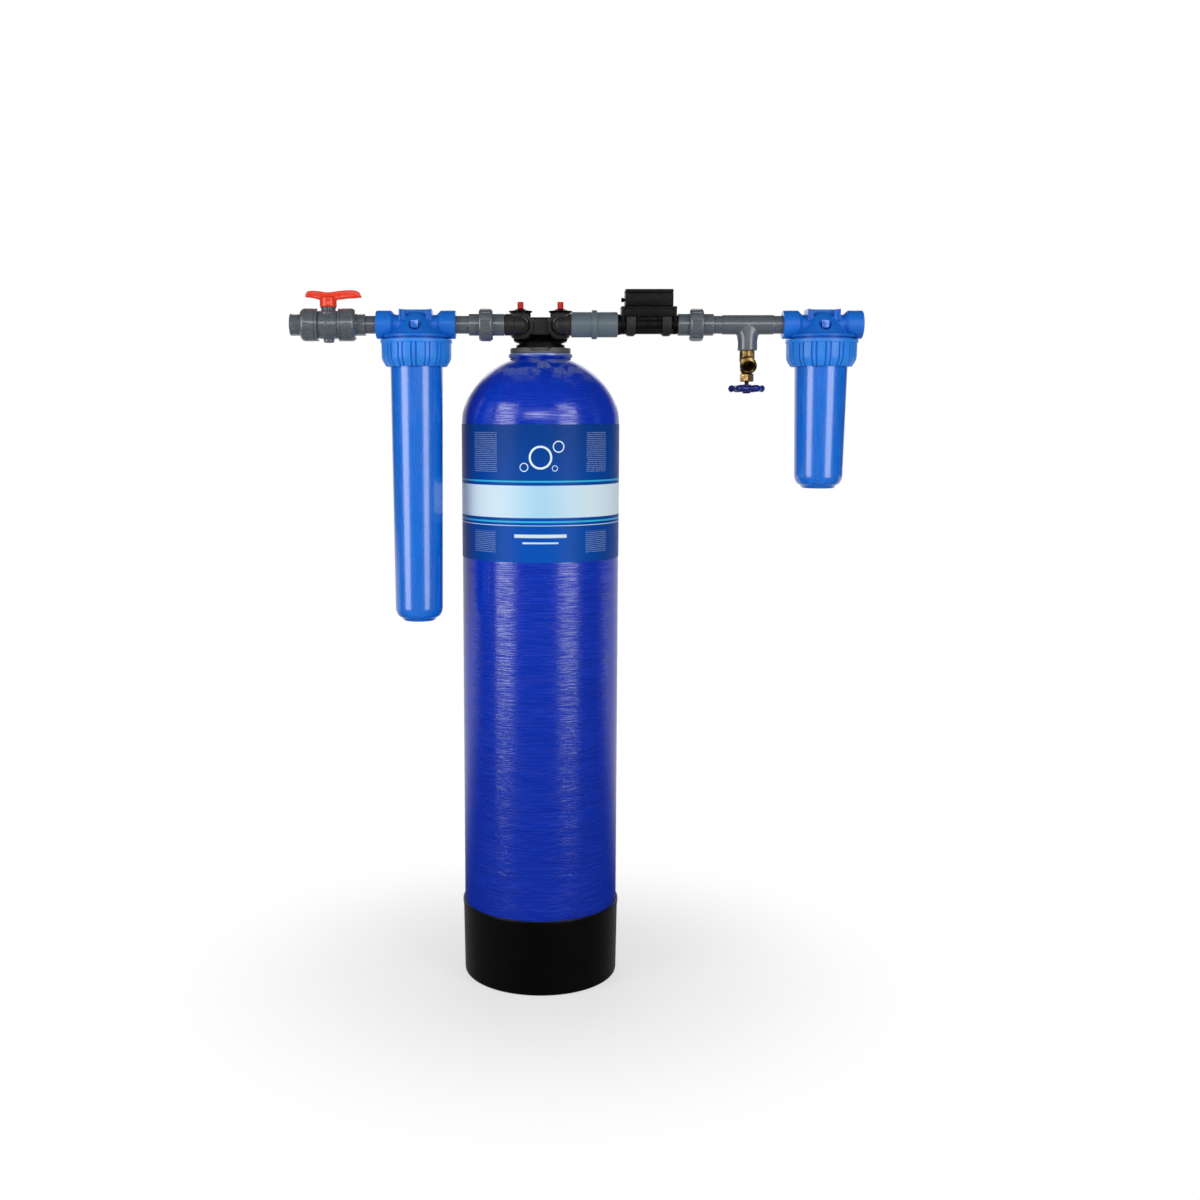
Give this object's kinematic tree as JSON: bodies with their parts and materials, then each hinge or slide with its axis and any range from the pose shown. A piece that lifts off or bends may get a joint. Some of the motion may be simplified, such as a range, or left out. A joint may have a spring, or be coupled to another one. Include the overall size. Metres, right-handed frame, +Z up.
{
  "type": "whole house water filter",
  "caption": "Tall tank water filter with bypass head, flow meter, drain valve, ball valve and a bowl filter before and after it on one pipe line.",
  "frame": {"origin": "on the floor under the middle of the tank", "axes": "+Z up along the tank, +X along the pipe line towards the outlet, -Y the front"},
  "size_m": [1.0671, 0.3177, 1.3529],
  "materials": {
    "grey_pvc": "grey PVC with a soft shine",
    "pale_grey_pvc": "pale blue-grey PVC",
    "black_plastic": "black glass-filled plastic",
    "dark_grey_plastic": "dark grey glass-filled plastic",
    "collar_grey_plastic": "mid grey plastic",
    "tank_blue_resin": "glossy wound resin, royal blue",
    "boot_black": "matt black moulded base",
    "label_blue": "printed film, blue",
    "housing_head_blue": "blue polypropylene",
    "housing_ring_blue": "lighter blue polypropylene",
    "housing_sump_blue": "glossy blue bowl",
    "handle_orange_red": "orange-red plastic",
    "knob_red": "red plastic",
    "brass": "cast brass",
    "wheel_blue": "dark blue paint",
    "white_plastic": "white plastic",
    "filter_media": "wound or carbon block cartridge",
    "carbon": "granular carbon bed",
    "black_rubber": "black rubber"
  },
  "bodies": {
    "unit": {"bottom_basket": "white_plastic", "bypass_body": "dark_grey_plastic", "drain_body": "brass", "drain_packing_nut": "brass", "inlet_bypass_cap": "black_plastic", "inlet_elbow": "dark_grey_plastic", "inlet_union_collar_end": "grey_pvc", "inlet_union_thread_end": "grey_pvc", "media_bed": "carbon", "meter_body": "black_plastic", "meter_coupling": "pale_grey_pvc", "meter_housing": "black_plastic", "meter_lid": "black_plastic", "neck_collar": "collar_grey_plastic", "outlet_bypass_cap": "black_plastic", "outlet_elbow": "dark_grey_plastic", "outlet_union_collar_end": "grey_pvc", "outlet_union_thread_end": "grey_pvc", "postfilter_head": "housing_head_blue", "prefilter_head": "housing_head_blue", "prefilter_inlet_nipple": "grey_pvc", "prefilter_outlet_nipple": "grey_pvc", "riser_tube": "white_plastic", "tank_base": "boot_black", "tank_head": "black_plastic", "tank_label": "label_blue", "tank_shell": "tank_blue_resin", "tee": "grey_pvc", "tee_inlet_nipple": "grey_pvc", "tee_outlet_nipple": "grey_pvc", "valve_body": "grey_pvc", "valve_inlet_socket": "grey_pvc", "valve_outlet_socket": "grey_pvc"},
    "valve_handle": {"valve_handle": "handle_orange_red", "valve_stem": "grey_pvc", "valve_ball": "white_plastic"},
    "valve_inlet_nut": {"valve_inlet_nut": "grey_pvc"},
    "valve_outlet_nut": {"valve_outlet_nut": "grey_pvc"},
    "inlet_union_nut": {"inlet_union_nut": "grey_pvc"},
    "outlet_union_nut": {"outlet_union_nut": "grey_pvc"},
    "inlet_elbow_nut": {"inlet_elbow_nut": "dark_grey_plastic"},
    "outlet_elbow_nut": {"outlet_elbow_nut": "dark_grey_plastic"},
    "inlet_bypass": {"inlet_bypass_plug": "dark_grey_plastic", "inlet_bypass_knob": "knob_red"},
    "outlet_bypass": {"outlet_bypass_plug": "dark_grey_plastic", "outlet_bypass_knob": "knob_red"},
    "prefilter_bowl": {"prefilter_sump": "housing_sump_blue", "prefilter_cartridge": "filter_media"},
    "postfilter_bowl": {"postfilter_sump": "housing_sump_blue", "postfilter_cartridge": "filter_media"},
    "prefilter_ring": {"prefilter_ring_nut": "housing_ring_blue"},
    "postfilter_ring": {"postfilter_ring_nut": "housing_ring_blue"},
    "prefilter_vent": {"prefilter_vent_button": "housing_head_blue"},
    "postfilter_vent": {"postfilter_vent_button": "housing_head_blue"},
    "meter_turbine": {"meter_turbine": "white_plastic"},
    "meter_inlet_clip": {"meter_inlet_clip": "dark_grey_plastic"},
    "meter_outlet_clip": {"meter_outlet_clip": "dark_grey_plastic"},
    "drain_screw": {"drain_washer": "black_rubber"},
    "drain_wheel": {"drain_stem": "brass", "drain_handwheel": "wheel_blue"}
  },
  "joints": [
    {"name": "valve_handle_turn", "type": "hinge", "parent": "unit", "child": "valve_handle", "pos_m": [-0.3954, -0.0935, 1.2893], "axis": [0, 0, 1], "range_deg": [0, 90]},
    {"name": "valve_inlet_nut_turn", "type": "hinge", "parent": "unit", "child": "valve_inlet_nut", "pos_m": [-0.4469, -0.0935, 1.2893], "axis": [1, 0, 0], "range_deg": [0, 1080]},
    {"name": "valve_outlet_nut_turn", "type": "hinge", "parent": "unit", "child": "valve_outlet_nut", "pos_m": [-0.3439, -0.0935, 1.2893], "axis": [1, 0, 0], "range_deg": [0, 1080]},
    {"name": "inlet_union_nut_turn", "type": "hinge", "parent": "unit", "child": "inlet_union_nut", "pos_m": [-0.0883, -0.0935, 1.2893], "axis": [1, 0, 0], "range_deg": [0, 1080]},
    {"name": "outlet_union_nut_turn", "type": "hinge", "parent": "unit", "child": "outlet_union_nut", "pos_m": [0.277, -0.0935, 1.2893], "axis": [1, 0, 0], "range_deg": [0, 1080]},
    {"name": "inlet_elbow_nut_turn", "type": "hinge", "parent": "unit", "child": "inlet_elbow_nut", "pos_m": [-0.038, -0.0605, 1.2893], "axis": [0, 1, 0], "range_deg": [0, 720]},
    {"name": "outlet_elbow_nut_turn", "type": "hinge", "parent": "unit", "child": "outlet_elbow_nut", "pos_m": [0.038, -0.0605, 1.2893], "axis": [0, 1, 0], "range_deg": [0, 720]},
    {"name": "inlet_bypass_turn", "type": "hinge", "parent": "unit", "child": "inlet_bypass", "pos_m": [-0.038, -0.038, 1.2893], "axis": [0, 0, 1], "range_deg": [0, 90]},
    {"name": "outlet_bypass_turn", "type": "hinge", "parent": "unit", "child": "outlet_bypass", "pos_m": [0.038, -0.038, 1.2893], "axis": [0, 0, 1], "range_deg": [0, 90]},
    {"name": "prefilter_bowl_drop", "type": "slide", "parent": "unit", "child": "prefilter_bowl", "axis": [0, 0, -1], "range_m": [0, 0.12]},
    {"name": "postfilter_bowl_drop", "type": "slide", "parent": "unit", "child": "postfilter_bowl", "axis": [0, 0, -1], "range_m": [0, 0.12]},
    {"name": "prefilter_ring_turn", "type": "hinge", "parent": "prefilter_bowl", "child": "prefilter_ring", "pos_m": [-0.2321, -0.0935, 1.2893], "axis": [0, 0, 1], "range_deg": [0, 1080]},
    {"name": "postfilter_ring_turn", "type": "hinge", "parent": "postfilter_bowl", "child": "postfilter_ring", "pos_m": [0.5259, -0.0935, 1.2893], "axis": [0, 0, 1], "range_deg": [0, 1080]},
    {"name": "prefilter_vent_press", "type": "slide", "parent": "unit", "child": "prefilter_vent", "axis": [0, 1, 0], "range_m": [0, 0.0025], "stiffness_N_per_m": 400},
    {"name": "postfilter_vent_press", "type": "slide", "parent": "unit", "child": "postfilter_vent", "axis": [0, 1, 0], "range_m": [0, 0.0025], "stiffness_N_per_m": 400},
    {"name": "meter_turbine_spin", "type": "hinge", "parent": "unit", "child": "meter_turbine", "pos_m": [0.2015, -0.0935, 1.2893], "axis": [1, 0, 0], "continuous": true},
    {"name": "meter_inlet_clip_pull", "type": "slide", "parent": "unit", "child": "meter_inlet_clip", "axis": [0, 0, -1], "range_m": [0, 0.03]},
    {"name": "meter_outlet_clip_pull", "type": "slide", "parent": "unit", "child": "meter_outlet_clip", "axis": [0, 0, -1], "range_m": [0, 0.03]},
    {"name": "drain_screw_travel", "type": "slide", "parent": "unit", "child": "drain_screw", "axis": [0, 0, -1], "range_m": [0, 0.006]},
    {"name": "drain_wheel_turn", "type": "hinge", "parent": "drain_screw", "child": "drain_wheel", "pos_m": [0.387, -0.0935, 1.2893], "axis": [0, 0, -1], "range_deg": [0, 1080]}
  ],
  "couplings": [
    {"joint": "drain_screw_travel", "follows": "drain_wheel_turn", "m_per_rad": 0.00031831}
  ]
}
